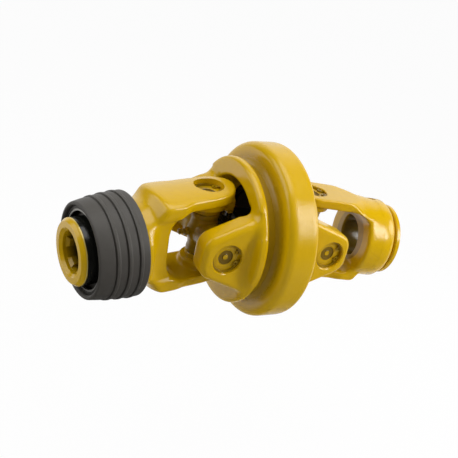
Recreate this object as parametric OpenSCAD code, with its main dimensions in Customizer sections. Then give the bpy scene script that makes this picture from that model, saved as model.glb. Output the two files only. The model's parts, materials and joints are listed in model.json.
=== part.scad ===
// Wide-angle power take-off universal joint: two crosses in one housing, a splined
// tractor yoke with a pull collar, and a yoke that takes the profile tube.
// Millimetres. The origin is the centre of the spline bore's mouth, and +X runs
// along the bore into the joint. The tractor yoke's ears stand at +Z and -Z.

/* [Joint] */
// Distance between the two cross centres
cross_gap = 103; // [100:1:110]
// Distance from the tractor yoke's mouth to the first cross centre
hub_reach = 126; // [122:1:140]
// Bend of each cross about the yoke's ear pins, as the joint lies
bend_side = -8.5; // [-20:0.5:20]
// Bend of each cross about the housing's ear pins, as the joint lies
bend_lift = 4; // [-20:0.5:20]
// Distance from a cross centre to its centring ball
ball_reach = 34; // [30:1:38]

/* [Crosses and bearings] */
// Outer diameter of a bearing cup
cup_d = 27; // [24:1:30]
// Length of a bearing cup
cup_len = 17; // [14:1:18]
// Measure over the two cups in a yoke
short_span = 74.6; // [72:0.1:76]
// Measure over the two cups in the housing
long_span = 100; // [98:0.5:104]
// Diameter of a trunnion
trunnion_d = 16.5; // [14:0.5:18]
// Diameter of a needle roller
needle_d = 2.5; // [2:0.5:3]
// Needle rollers in one cup
needle_count = 22; // [12:1:23]

/* [Yokes] */
// Height over a yoke's two ears
yoke_h = 80; // [79:1:84]
// Gap between a yoke's two ears
yoke_gap = 62; // [56:1:64]
// Width of the tractor yoke's ears
tractor_ear_w = 46; // [42:1:50]
// Width of the tube yoke's ears
tube_ear_w = 43; // [40:1:48]
// Diameter of the tractor yoke's hub
hub_d = 56; // [52:1:60]
// Diameter of the tractor yoke's neck behind the collar
neck_d = 72; // [68:1:76]
// Diameter of the tube yoke's barrel
barrel_d = 76; // [72:1:80]
// Distance from the second cross centre to the tube yoke's end face
barrel_reach = 91.5; // [90:0.5:100]

/* [Spline bore] */
// Diameter over the spline grooves, nominal 1 3/8 inch
spline_major_d = 35; // [34.9:0.1:35.2]
// Diameter between the spline teeth
spline_minor_d = 30; // [29.8:0.1:30.4]
// Width of a spline groove
spline_groove_w = 8.7; // [8.6:0.1:9]
// Number of spline teeth
spline_count = 6; // [6:1:8]

/* [Pull collar] */
// Outer diameter at the collar's mouth
grip_front_d = 80; // [76:1:84]
// Outer diameter at the collar's back
grip_back_d = 90; // [86:1:94]
// Distance of the collar's mouth from the yoke's mouth
grip_start = 9; // [8:0.5:12]
// Length of the collar
grip_len = 41.5; // [38:0.5:42]
// Travel of the collar
collar_travel = 10; // [8:0.5:10]
// Diameter of a locking ball
lock_ball_d = 13; // [12:0.5:14]
// Depth by which a locking ball stands in the bore
lock_depth = 2.9; // [2:0.1:3]

/* [Housing] */
// Diameter of the drum
drum_d = 160; // [156:1:170]
// Width of the drum
drum_w = 29; // [28:1:34]
// Distance of the drum's front face from the middle of the housing
drum_front = -9.5; // [-12:0.5:-9]
// Diameter of the flange yoke's plate
plate_d = 132.5; // [128:0.5:140]
// Thickness of the flange yoke's plate
plate_w = 8.2; // [7:0.1:9]
// Distance of the plate's front face from the middle of the housing
plate_front = -29.5; // [-31:0.5:-28]
// Diameter of the round opening in the plate
opening_d = 99; // [96:1:102]
// Measure over the housing's two ears
ears_h = 108.6; // [107:0.1:112]
// Gap between the housing's two ears
ears_gap = 70; // [68:1:74]
// Diameter of the floating guide disc
disc_d = 98; // [94:1:98]

/* [Hidden] */
$fn = 96;
rough_fn = 32;
over = 0.5;

// Bearing fit: needles between the trunnion and the cup, each with a film of grease
film = 0.05;
cup_r = cup_d / 2;
trunnion_r = trunnion_d / 2;
needle_r = needle_d / 2;
needle_pitch_r = trunnion_r + film + needle_r;
cup_bore_r = needle_pitch_r + needle_r + film;
cup_end_w = 1.8;
needle_len = 10.5;
arm_neck_r = 10.5;
seal_w = 2.4;
clip_w = 1.5;
clip_r = 14.4;
clip_gap = 0.1;
seat_film = 0.02;

// Yokes
yoke_top = yoke_h / 2;
yoke_in = yoke_gap / 2;
ear_r = 22;
boss_in = 25;
boss_r = 18.5;
corner_r = 48;
bridge_back = 19;
bridge_front = 25;
bridge_half_w = 8;
stud_shank_r = 6;
stud_ball_r = 11;

// Tractor yoke, measured from its cross centre towards the mouth
mouth_x = -hub_reach;
hub_r = hub_d / 2;
neck_r = neck_d / 2;
neck_start = -76.5;
neck_end = -65.2;
spline_lead = 5.6;
spline_end = -40;
lock_x = mouth_x + 28;
lock_ball_r = lock_ball_d / 2;
lock_hole_r = lock_ball_r + 0.06;
pilot_r = spline_major_d / 2 + 0.1;
relief_start = lock_x - 3;
relief_r = hub_r - 1.7;
lock_centre_r = spline_major_d / 2 - lock_depth + lock_ball_r;

// Collar, measured from the first cross centre
grip_x = mouth_x + grip_start;
grip_end = grip_x + grip_len;
sleeve_r = 36.4;
sleeve_in_r = 33;
sleeve_mouth_r = 34;
mouth_ring_in_r = 32.4;
ramp_rise = 2.7;
ramp_tan = ramp_rise / collar_travel;
ramp_cos = cos(atan(ramp_tan));
ramp_film = 0.12;
ramp_r = lock_centre_r + (lock_ball_r + ramp_film) / ramp_cos;
ramp_front = lock_x - collar_travel + 0.4;
ramp_back = lock_x + 3.2;
sleeve_end = neck_start - collar_travel - 0.5;
stop_ring_w = 1.6;
stop_ring_x = ramp_front - stop_ring_w - 0.1;
stop_ring_r = 32;
spring_wire_r = 1;
spring_r = 29.4;
spring_turns = 3;
spring_start = ramp_back + 0.2;
spring_stop = neck_start - 0.2;

// Housing, measured from its middle
drum_r = drum_d / 2;
drum_back = drum_front + drum_w;
plate_r = plate_d / 2;
plate_back = plate_front + plate_w;
neck_ring_r = 60;
opening_r = opening_d / 2;
throat_r = 41;
chamber_r = 74;
chamber_half_w = 5.8;
ears_out = ears_h / 2;
ears_in = ears_gap / 2;
cross_x = cross_gap / 2;

// Guide disc and its cover rings
disc_r = disc_d / 2;
disc_half_w = 4.2;
tube_r = 15.2;
tube_bore_r = 12.6;
tube_half_len = 22;
cover_w = 1.2;
cover_x = disc_half_w + 0.15;
cover_in_r = 33;
cover_out_r = 56;
disc_shift_y = -ball_reach * sin(bend_side);
disc_shift_z = ball_reach * sin(bend_lift) * cos(bend_side);

// Tube yoke, measured from the second cross centre towards its end
barrel_r = barrel_d / 2;
base_x = 55;
barrel_end_x = 83.8;
groove_end_x = 86.5;
groove_r = 30.5;
flange_r = 34;
pin_hole_x = 69.5;
pin_hole_r = 5;
pin_hole_turn = 14;
lemon_r = 21.8;
lemon_offset = 5.8;
lemon_tip_r = 20.4;
lemon_turn = 48;

PAINT = [0.84, 0.68, 0.02];
BLACK = [0.22, 0.21, 0.20];
STEEL = [0.62, 0.62, 0.62];
DARK_STEEL = [0.36, 0.36, 0.36];
SEAL = [0.12, 0.12, 0.12];
ZINC = [0.75, 0.74, 0.68];

// Turns of one bearing place: the arms of a cross point up, down, to the front and to the back
TOP = [0, 0, 0];
BOTTOM = [180, 0, 0];
FRONT = [90, 0, 0];
BACK = [-90, 0, 0];

// Places of the five bodies in the chain, each one carried by the one before it
module at_tractor_yoke() {
    translate([hub_reach, 0, 0])
        children();
}

module at_left_cross() {
    at_tractor_yoke()
        rotate([0, 0, bend_side])
            children();
}

module at_housing() {
    at_left_cross()
        rotate([0, bend_lift, 0])
            translate([cross_x, 0, 0])
                children();
}

module at_right_cross() {
    at_housing()
        translate([cross_x, 0, 0])
            rotate([0, bend_lift, 0])
                children();
}

module at_tube_yoke() {
    at_right_cross()
        rotate([0, 0, bend_side])
            children();
}

// The housing's two pairs of ear pins
module at_left_pins() {
    at_housing()
        translate([-cross_x, 0, 0])
            children();
}

module at_right_pins() {
    at_housing()
        translate([cross_x, 0, 0])
            children();
}

// Both bearing places of a yoke, and of one side of the housing
module yoke_pair() {
    for (place = [TOP, BOTTOM])
        rotate(place)
            children();
}

module housing_pair() {
    for (place = [FRONT, BACK])
        rotate(place)
            children();
}

// A body turned about X from an outline of [x, radius] points
module turned(outline) {
    rotate([0, 90, 0])
        rotate_extrude()
            polygon([for (p = outline) [p[1], p[0]]]);
}

// A plate outline in X and Z, from one Y to another
module from_side(y1, y2) {
    translate([0, y2, 0])
        rotate([90, 0, 0])
            linear_extrude(y2 - y1)
                children();
}

// A cylinder along X
module rod_x(x1, x2, r) {
    translate([x1, 0, 0])
        rotate([0, 90, 0])
            cylinder(r = r, h = x2 - x1);
}

// Points of an arc, from one angle to another
function arc(cx, cy, r, a1, a2, n = 10) =
    [for (i = [0 : n]) let (a = a1 + (a2 - a1) * i / n) [cx + r * cos(a), cy + r * sin(a)]];

// Bearing places of one axis, with the cup bore and its clip groove, for cutting
module bearing_bore(span, outer) {
    half = span / 2;
    for (side = [0, 180])
        rotate([side, 0, 0]) {
            translate([0, 0, half - cup_len - 12])
                cylinder(r = cup_r + seat_film, h = outer - half + cup_len + 12 + over);
            translate([0, 0, half + clip_gap / 2])
                cylinder(r = clip_r, h = clip_w + clip_gap);
        }
}

// One bearing cup with its closed end outwards, on the +Z arm
module cup(span) {
    half = span / 2;
    color(DARK_STEEL)
        translate([0, 0, half - cup_len])
            rotate_extrude()
                polygon([
                    [cup_bore_r, 0], [cup_r - 0.6, 0], [cup_r, 0.6], [cup_r, cup_len - 1],
                    [cup_r - 1, cup_len], [8.2, cup_len], [7.4, cup_len - 0.7], [0, cup_len - 0.7],
                    [0, cup_len - cup_end_w], [cup_bore_r, cup_len - cup_end_w]
                ]);
}

// The needle rollers of one cup, on the +Z arm
module needles(span) {
    color(STEEL)
        for (i = [0 : needle_count - 1])
            rotate([0, 0, 360 * i / needle_count])
                translate([needle_pitch_r, 0, span / 2 - cup_end_w - 0.3 - needle_len])
                    cylinder(r = needle_r, h = needle_len, $fn = 24);
}

// The rubber seal at a cup's mouth, on the +Z arm
module seal(span) {
    color(SEAL)
        translate([0, 0, span / 2 - cup_len + 0.2])
            difference() {
                cylinder(r = cup_bore_r - 0.03, h = seal_w);
                translate([0, 0, -over])
                    cylinder(r = trunnion_r + 0.06, h = seal_w + 2 * over);
            }
}

// The circlip outside one cup, on the +Z arm
module clip(span) {
    color(DARK_STEEL)
        translate([0, 0, span / 2 + clip_gap])
            linear_extrude(clip_w - clip_gap)
                difference() {
                    union() {
                        difference() {
                            circle(r = clip_r - 0.2);
                            circle(r = 12);
                            translate([0, -3])
                                square([clip_r + 1, 6]);
                        }
                        for (s = [-1, 1])
                            translate([9.9, s * 5.2])
                                circle(r = 2.4);
                    }
                    for (s = [-1, 1])
                        translate([9.6, s * 5.2])
                            circle(r = 1);
                }
}

// Forged cross with four turned trunnions
module spider() {
    color(DARK_STEEL)
        difference() {
            union() {
                sphere(r = 15);
                for (a = [TOP, FRONT])
                    rotate(a)
                        spider_bar(a == TOP ? short_span : long_span);
            }
            rotate([0, 90, 0])
                translate([0, 0, -20])
                    cylinder(r = 3.1, h = 40);
        }
}

module spider_bar(span) {
    half = span / 2;
    tip = half - cup_end_w - 0.1;
    neck = half - cup_len - 0.2;
    for (side = [0, 180])
        rotate([side, 0, 0])
            rotate_extrude()
                polygon([
                    [0, -over], [13, -over], [13, 6], [arm_neck_r + 1, neck - 4], [arm_neck_r, neck],
                    [trunnion_r, neck], [trunnion_r, tip - 1], [trunnion_r - 1, tip], [0, tip]
                ]);
}

// Grease nipple screwed into the hub of a cross, along +X
module nipple(x0) {
    color(ZINC)
        union() {
            rod_x(x0 - 5, x0, 3);
            translate([x0, 0, 0])
                rotate([0, 90, 0])
                    cylinder(r = 4.2, h = 3, $fn = 6);
            turned([
                [x0 + 3, 0], [x0 + 3, 2.6], [x0 + 5.5, 2], [x0 + 6.3, 2], [x0 + 7.4, 2.9],
                [x0 + 8.4, 2.2], [x0 + 9, 1.2], [x0 + 9, 0]
            ]);
        }
}

// A fork's outline seen from above: round ear tips, straight sides and a root that widens.
// The fork opens towards +X.
module fork_plan(ear_w, root_x, back_x) {
    half_w = ear_w / 2;
    back_half_w = 60;
    union() {
        circle(r = ear_r);
        polygon([
            [0, -ear_r], [0, ear_r], [-12, half_w], [root_x + 8, half_w + 0.6],
            [root_x + 3, half_w + 3], [root_x, half_w + 8], [root_x - 1.5, back_half_w],
            [back_x, back_half_w], [back_x, -back_half_w], [root_x - 1.5, -back_half_w],
            [root_x, -half_w - 8], [root_x + 3, -half_w - 3], [root_x + 8, -half_w - 0.6],
            [-12, -half_w]
        ]);
    }
}

module bridge() {
    intersection() {
        from_side(-ear_r, ear_r)
            difference() {
                polygon([
                    [10, boss_in + 6], [ear_r - 1, boss_in + 9], [ear_r, boss_in + 5],
                    [bridge_front, 13], [bridge_front, -13],
                    [ear_r, -boss_in - 5], [ear_r - 1, -boss_in - 9], [10, -boss_in - 6]
                ]);
                polygon([
                    [0, 24], [15, 22], [bridge_back, 12], [bridge_back, -12], [15, -22], [0, -24]
                ]);
            }
        rotate([90, 0, 90])
            linear_extrude(bridge_front + 1)
                polygon([
                    [-16, yoke_in + 3], [16, yoke_in + 3], [14, 24], [bridge_half_w, 14],
                    [bridge_half_w, -14], [14, -24], [16, -yoke_in - 3], [-16, -yoke_in - 3],
                    [-14, -24], [-bridge_half_w, -14], [-bridge_half_w, 14], [-14, 24]
                ]);
        translate([0, 0, -yoke_top])
            cylinder(r = bridge_front + 0.2, h = yoke_h);
    }
}

module ear_bosses() {
    for (s = [-1, 1])
        translate([0, 0, s > 0 ? boss_in : -yoke_top + over])
            cylinder(r = boss_r, h = yoke_top - boss_in - over);
}

// The hole for the ball stud's shank, along X through the bridge
module stud_hole() {
    rod_x(bridge_back - over, bridge_front + over, stud_shank_r + seat_film);
}

// Tractor yoke: splined hub, round neck and fork, forged in one piece
module tractor_yoke_blank() {
    turned(concat(
        [
            [mouth_x, 0], [mouth_x, hub_r - 2.6], [mouth_x + 0.6, hub_r - 2],
            [mouth_x + 2.6, hub_r - 0.4], [mouth_x + 3.4, hub_r], [relief_start, hub_r],
            [relief_start + 1, relief_r], [neck_start, relief_r],
            [neck_start, neck_r - 2], [neck_start + 2, neck_r], [neck_end, neck_r],
            [neck_end + 4, neck_r + 1.4], [neck_end + 8, neck_r + 5.5]
        ],
        arc(-52, corner_r - 5, 5, 150, 90, 5),
        [[ear_r + 1, corner_r], [ear_r + 1, 0]]
    ));
}

module fork_window() {
    r = 21;
    from_side(-60, 60)
        union() {
            for (s = [-1, 1])
                translate([-47 + r, s * (yoke_in - r)])
                    circle(r = r);
            translate([-47, -yoke_in + r])
                square([r, 2 * (yoke_in - r)]);
            translate([-47 + r, -yoke_in])
                square([60, yoke_gap]);
        }
}

module spline_profile() {
    circle(r = spline_minor_d / 2);
    intersection() {
        circle(r = spline_major_d / 2);
        for (i = [0 : spline_count - 1])
            rotate(360 * i / spline_count)
                translate([0, -spline_groove_w / 2])
                    square([spline_major_d, spline_groove_w]);
    }
}

module spline_bore() {
    lead = mouth_x + spline_lead;
    translate([lead - over, 0, 0])
        rotate([0, 90, 0])
            linear_extrude(spline_end - lead + over)
                spline_profile();
    turned([
        [mouth_x - over, 0], [mouth_x - over, 20.9], [mouth_x, 20.4], [mouth_x + 2.4, pilot_r],
        [lead, pilot_r], [lead + 2.4, spline_minor_d / 2 - 0.1], [lead + 2.4, 0]
    ]);
}

module lock_ball_holes() {
    for (a = [0, 120, 240])
        rotate([a, 0, 0])
            translate([lock_x, 0, spline_minor_d / 2 - 3])
                cylinder(r = lock_hole_r, h = 20);
}

module tractor_yoke() {
    color(PAINT)
        at_tractor_yoke()
            difference() {
                union() {
                    difference() {
                        intersection() {
                            tractor_yoke_blank();
                            translate([0, 0, -yoke_top])
                                linear_extrude(yoke_h)
                                    fork_plan(tractor_ear_w, neck_end - 1, mouth_x - 1);
                        }
                        fork_window();
                    }
                    ear_bosses();
                    bridge();
                }
                bearing_bore(short_span, yoke_top);
                stud_hole();
                spline_bore();
                lock_ball_holes();
                stop_ring_groove();
            }
}

module stop_ring_groove() {
    difference() {
        rod_x(stop_ring_x - 0.05, stop_ring_x + stop_ring_w + 0.05, hub_r + 2);
        rod_x(stop_ring_x - 1, stop_ring_x + stop_ring_w + 1, hub_r - 1.6);
    }
}

// Ball stud pressed into a yoke's bridge, along +X
module ball_stud() {
    color(STEEL)
        union() {
            rod_x(bridge_back, bridge_front + 0.05, stud_shank_r);
            intersection() {
                translate([ball_reach, 0, 0])
                    sphere(r = stud_ball_r);
                rod_x(bridge_front + 0.05, ball_reach + stud_ball_r + 1, stud_ball_r + 1);
            }
        }
}

// Pull collar
module band(x1, x2, r1, r2) {
    rise = 0.8;
    turned([
        [x1, 30], [x1, r1 + rise - 0.7], [x1 + 0.7, r1 + rise], [x1 + 2.2, r1 + rise],
        [x1 + 3.2, r1 + 0.2], [x2 - 0.5, r2], [x2, r2 - 0.5], [x2, 30]
    ]);
}

module collar_grip() {
    groove = 1.1;
    front_r = grip_front_d / 2;
    back_r = grip_back_d / 2;
    edges = [0, 13.6, 23.1, 32.6, grip_len];
    radii = [front_r, front_r + 2.2, back_r - 1.3, back_r - 0.5, back_r - 0.2];
    color(BLACK)
        at_tractor_yoke()
            difference() {
                union() {
                    turned([
                        [grip_x, 30], [grip_x, front_r - 1], [grip_x + 1, front_r],
                        [grip_x + edges[1] - groove, radii[1] - 0.4],
                        [grip_x + edges[1] - groove, 30]
                    ]);
                    for (i = [1 : 3])
                        band(grip_x + edges[i], grip_x + edges[i + 1] - (i < 3 ? groove : 0),
                             radii[i] + 0.1, radii[i + 1]);
                    turned([
                        [grip_x + 1, 30], [grip_x + 1, front_r - 1.6],
                        [grip_end - 1, back_r - 2.2], [grip_end - 1, 30]
                    ]);
                }
                turned([
                    [grip_x - over, 0], [grip_x - over, sleeve_r + 1.4], [grip_x + 0.9, sleeve_r],
                    [grip_end + over, sleeve_r], [grip_end + over, 0]
                ]);
            }
}

module collar_sleeve() {
    ramp_front_r = ramp_r + ramp_tan * (lock_x - ramp_front);
    ramp_back_r = ramp_r - ramp_tan * (ramp_back - lock_x);
    color(STEEL)
        at_tractor_yoke()
            difference() {
                rod_x(grip_x + 2.5, sleeve_end, sleeve_r - seat_film);
                turned([
                    [grip_x, 0], [grip_x, sleeve_mouth_r], [ramp_front, sleeve_mouth_r],
                    [ramp_front, ramp_front_r], [ramp_back, ramp_back_r],
                    [ramp_back, sleeve_in_r], [grip_end, sleeve_in_r], [grip_end, 0]
                ]);
            }
}

// Split ring just inside the collar's mouth
module collar_mouth_ring() {
    color(STEEL)
        at_tractor_yoke()
            translate([grip_x + 3, 0, 0])
                rotate([0, 90, 0])
                    linear_extrude(1.8)
                        difference() {
                            circle(r = sleeve_mouth_r - 0.04);
                            circle(r = mouth_ring_in_r);
                            for (a = [20, 200])
                                rotate(a)
                                    translate([mouth_ring_in_r - 1, -1.6])
                                        square([1.8, 3.2]);
                        }
}

module collar_stop_ring() {
    color(DARK_STEEL)
        at_tractor_yoke()
            translate([stop_ring_x, 0, 0])
                rotate([0, 90, 0])
                    linear_extrude(stop_ring_w)
                        difference() {
                            circle(r = stop_ring_r);
                            circle(r = hub_r - 1.5);
                            rotate(180)
                                translate([0, -3])
                                    square([stop_ring_r + 1, 6]);
                        }
}

// Coil spring behind the collar's ramp, one tube swept along a helix
SPRING_SIDES = 8;
SPRING_STEPS = 22;
spring_rise = spring_stop - spring_start - 2 * spring_wire_r;
spring_rings = spring_turns * SPRING_STEPS;
function spring_point(i, j) =
    let (
        t = i / spring_rings,
        a = 360 * spring_turns * t,
        b = 360 * j / SPRING_SIDES,
        r = spring_r + spring_wire_r * cos(b)
    )
    [spring_start + spring_wire_r + spring_rise * t + spring_wire_r * sin(b), r * cos(a), r * sin(a)];

module collar_spring() {
    n = SPRING_SIDES;
    points = [for (i = [0 : spring_rings]) for (j = [0 : n - 1]) spring_point(i, j)];
    walls = [
        for (i = [0 : spring_rings - 1]) for (j = [0 : n - 1])
            [i * n + j, i * n + (j + 1) % n, (i + 1) * n + (j + 1) % n, (i + 1) * n + j]
    ];
    ends = [
        [for (j = [n - 1 : -1 : 0]) j],
        [for (j = [0 : n - 1]) spring_rings * n + j]
    ];
    color(STEEL)
        at_tractor_yoke()
            polyhedron(points = points, faces = concat(walls, ends));
}

module lock_ball(turn) {
    color(STEEL)
        at_tractor_yoke()
            rotate([turn, 0, 0])
                translate([lock_x, 0, lock_centre_r])
                    sphere(r = lock_ball_r);
}

// Housing ears: rounded triangles that stand at +Y and -Y, towards -X from the root
module housing_ear_outline(tip_r, root_x, root_half) {
    circle(r = tip_r);
    reach = sqrt(root_x * root_x + root_half * root_half);
    a = atan(root_half / root_x) + acos(tip_r / reach);
    polygon([
        [tip_r * cos(a), tip_r * sin(a)], [root_x, root_half], [root_x + 3, root_half],
        [root_x + 3, -root_half], [root_x, -root_half], [tip_r * cos(a), -tip_r * sin(a)]
    ]);
}

module housing_ears(tip_r, root_x, root_half) {
    for (s = [-1, 1])
        from_side(s > 0 ? ears_in : -ears_out, s > 0 ? ears_out : -ears_in)
            housing_ear_outline(tip_r, root_x, root_half);
}

// Left half of the housing: plate, neck and two ears, cast in one piece
module flange_yoke() {
    color(PAINT)
        at_housing()
            difference() {
                union() {
                    turned([
                        [plate_front, opening_r], [plate_front, plate_r - 1.5],
                        [plate_front + 1.5, plate_r], [plate_back - 1.2, plate_r],
                        [plate_back, plate_r - 1.2], [plate_back, neck_ring_r + 1.5],
                        [plate_back + 1.5, neck_ring_r], [-chamber_half_w, neck_ring_r],
                        [-chamber_half_w, throat_r]
                    ]);
                    translate([-cross_x, 0, 0])
                        housing_ears(23, cross_x + plate_front + 1.3, 36);
                }
                translate([-cross_x, 0, 0])
                    rotate([90, 0, 0])
                        bearing_bore(long_span, ears_out);
                at_neck_nipple()
                    union() {
                        rod_x(-5.5, 1, 3.1);
                        rod_x(-25, 0, 1.5);
                    }
            }
}

// Right half of the housing: drum and two ears, cast in one piece
module drum_housing() {
    rim = 4;
    color(PAINT)
        at_housing()
            difference() {
                union() {
                    turned(concat(
                        [[drum_front + 1, neck_ring_r + seat_film], [drum_front, drum_r - 7]],
                        arc(drum_front + rim, drum_r - rim, rim, 180, 90, 6),
                        arc(drum_back - rim, drum_r - rim, rim, 90, 0, 6),
                        [
                            [drum_back, opening_r - 5], [chamber_half_w, throat_r],
                            [chamber_half_w, chamber_r], [-chamber_half_w, chamber_r],
                            [-chamber_half_w, neck_ring_r + seat_film]
                        ]
                    ));
                    translate([cross_x, 0, 0])
                        mirror([1, 0, 0])
                            housing_ears(20.5, cross_x - drum_back + 2, 38);
                }
                translate([cross_x, 0, 0])
                    rotate([90, 0, 0])
                        bearing_bore(long_span, ears_out);
            }
}

// The grease nipple's place, on the far side of the neck between plate and drum
module at_neck_nipple() {
    translate([(plate_back + drum_front) / 2, neck_ring_r, 0])
        rotate([0, 0, 90])
            children();
}

module housing_nipple() {
    at_housing()
        at_neck_nipple()
            nipple(0.3);
}

// Floating disc with the tube that both ball studs run in
module guide_disc() {
    color(STEEL)
        at_housing()
            translate([0, disc_shift_y, disc_shift_z])
                turned([
                    [-disc_half_w, tube_r], [-disc_half_w, disc_r - 1], [-disc_half_w + 1, disc_r],
                    [disc_half_w - 1, disc_r], [disc_half_w, disc_r - 1], [disc_half_w, tube_r],
                    [tube_half_len, tube_r], [tube_half_len, tube_bore_r + 1.2],
                    [tube_half_len - 2, tube_bore_r], [-tube_half_len + 2, tube_bore_r],
                    [-tube_half_len, tube_bore_r + 1.2], [-tube_half_len, tube_r]
                ]);
}

module cover_ring(x1) {
    color(STEEL)
        at_housing()
            translate([0, disc_shift_y, 0])
                difference() {
                    rod_x(x1, x1 + cover_w, cover_out_r);
                    rod_x(x1 - 1, x1 + cover_w + 1, cover_in_r);
                }
}

// Tube yoke: fork, barrel, shield groove and end flange, forged in one piece
module tube_fork_blank() {
    turned([
        [-ear_r - 1, 0], [-ear_r - 1, corner_r - 2.5], [44, corner_r - 2.5],
        [52, corner_r - 5.5], [66, barrel_r], [66, 0]
    ]);
}

module barrel() {
    turned([
        [base_x, 0], [base_x, 35], [base_x + 1, 37], [base_x + 3, barrel_r],
        [barrel_end_x - 5, barrel_r], [barrel_end_x - 1.5, barrel_r - 2],
        [barrel_end_x, barrel_r - 4], [barrel_end_x, groove_r], [groove_end_x, groove_r],
        [groove_end_x, flange_r - 1], [groove_end_x + 1, flange_r],
        [barrel_reach - 1, flange_r], [barrel_reach, flange_r - 1], [barrel_reach, 0]
    ]);
}

module tube_window() {
    r = 12;
    from_side(-60, 60)
        union() {
            for (s = [-1, 1])
                translate([base_x - r, s * (yoke_in - r)])
                    circle(r = r);
            translate([base_x - r, -yoke_in + r])
                square([r, 2 * (yoke_in - r)]);
            translate([base_x - r - 80, -yoke_in])
                square([80, yoke_gap]);
        }
}

module lemon_profile() {
    rotate(lemon_turn)
        intersection() {
            translate([0, lemon_offset])
                circle(r = lemon_r);
            translate([0, -lemon_offset])
                circle(r = lemon_r);
            circle(r = lemon_tip_r);
        }
}

module tube_yoke() {
    color(PAINT)
        at_tube_yoke()
            difference() {
                union() {
                    difference() {
                        union() {
                            intersection() {
                                tube_fork_blank();
                                translate([0, 0, -yoke_top])
                                    linear_extrude(yoke_h)
                                        mirror([1, 0])
                                            fork_plan(tube_ear_w, -base_x - 2, -base_x - 12);
                            }
                            barrel();
                        }
                        tube_window();
                    }
                    ear_bosses();
                    mirror([1, 0, 0])
                        bridge();
                }
                bearing_bore(short_span, yoke_top);
                mirror([1, 0, 0])
                    stud_hole();
                translate([base_x - over, 0, 0])
                    rotate([90, 0, 90])
                        linear_extrude(barrel_reach - base_x + 2 * over)
                            lemon_profile();
                rotate([-pin_hole_turn, 0, 0])
                    translate([pin_hole_x, 0, -50])
                        cylinder(r = pin_hole_r, h = 100);
            }
}

module left_cross() {
    at_left_cross()
        spider();
}

module right_cross() {
    at_right_cross()
        spider();
}

tractor_yoke();
flange_yoke();
drum_housing();
tube_yoke();
left_cross();
right_cross();
at_tractor_yoke() ball_stud();  // left_ball_stud
at_tube_yoke() mirror([1, 0, 0]) ball_stud();  // right_ball_stud
guide_disc();
cover_ring(-cover_x - cover_w);  // front_cover_ring
cover_ring(cover_x);  // back_cover_ring
collar_grip();
collar_sleeve();
collar_mouth_ring();
collar_spring();
collar_stop_ring();
lock_ball(0);  // lock_ball_top
lock_ball(120);  // lock_ball_front
lock_ball(240);  // lock_ball_back
at_tractor_yoke() rotate(TOP) cup(short_span);  // cup_left_top
at_tractor_yoke() rotate(BOTTOM) cup(short_span);  // cup_left_bottom
at_left_pins() rotate(FRONT) cup(long_span);  // cup_left_front
at_left_pins() rotate(BACK) cup(long_span);  // cup_left_back
at_tube_yoke() rotate(TOP) cup(short_span);  // cup_right_top
at_tube_yoke() rotate(BOTTOM) cup(short_span);  // cup_right_bottom
at_right_pins() rotate(FRONT) cup(long_span);  // cup_right_front
at_right_pins() rotate(BACK) cup(long_span);  // cup_right_back
at_tractor_yoke() rotate(TOP) seal(short_span);  // seal_left_top
at_tractor_yoke() rotate(BOTTOM) seal(short_span);  // seal_left_bottom
at_left_pins() rotate(FRONT) seal(long_span);  // seal_left_front
at_left_pins() rotate(BACK) seal(long_span);  // seal_left_back
at_tube_yoke() rotate(TOP) seal(short_span);  // seal_right_top
at_tube_yoke() rotate(BOTTOM) seal(short_span);  // seal_right_bottom
at_right_pins() rotate(FRONT) seal(long_span);  // seal_right_front
at_right_pins() rotate(BACK) seal(long_span);  // seal_right_back
at_tractor_yoke() yoke_pair() needles(short_span);  // needles_left_yoke
at_left_pins() housing_pair() needles(long_span);  // needles_left_housing
at_tube_yoke() yoke_pair() needles(short_span);  // needles_right_yoke
at_right_pins() housing_pair() needles(long_span);  // needles_right_housing
at_tractor_yoke() yoke_pair() clip(short_span);  // clips_left_yoke
at_left_pins() housing_pair() clip(long_span);  // clips_left_housing
at_right_pins() housing_pair() clip(long_span);  // clips_right_housing
at_tube_yoke() yoke_pair() clip(short_span);  // clips_right_yoke
at_left_cross() mirror([1, 0, 0]) nipple(14.75);  // left_cross_nipple
at_right_cross() nipple(14.75);  // right_cross_nipple
housing_nipple();
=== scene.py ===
import bpy
import bmesh
import json
import math
import numpy
from mathutils import Matrix, Vector

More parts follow.
